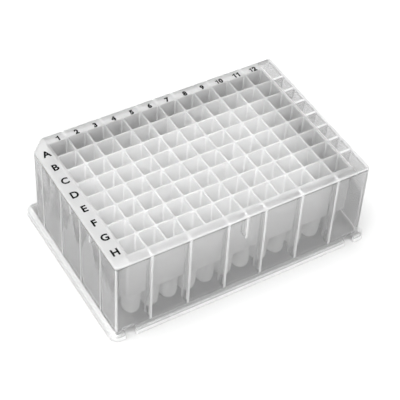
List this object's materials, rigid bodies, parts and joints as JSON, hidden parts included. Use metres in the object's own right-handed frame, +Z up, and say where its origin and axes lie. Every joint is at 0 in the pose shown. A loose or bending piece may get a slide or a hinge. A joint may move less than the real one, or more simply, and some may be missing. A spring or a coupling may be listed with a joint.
{
  "type": "deep well plate",
  "caption": "Rectangular deep-well plate with a flat deck, a grid of square-mouthed round-bottomed wells, a skirt and a stepped base flange with a cut corner.",
  "frame": {"origin": "middle of the footprint, on the plane the plate stands on", "axes": "+X along the rows from column 1 to the last column, +Y across the plate towards row A, +Z up out of the wells"},
  "size_m": [0.1278, 0.0854, 0.044],
  "materials": {
    "natural_polypropylene": "natural, translucent, satin",
    "black_print": "flat pad-printed ink"
  },
  "bodies": {
    "root": {"well_plate": "natural_polypropylene"}
  },
  "joints": []
}
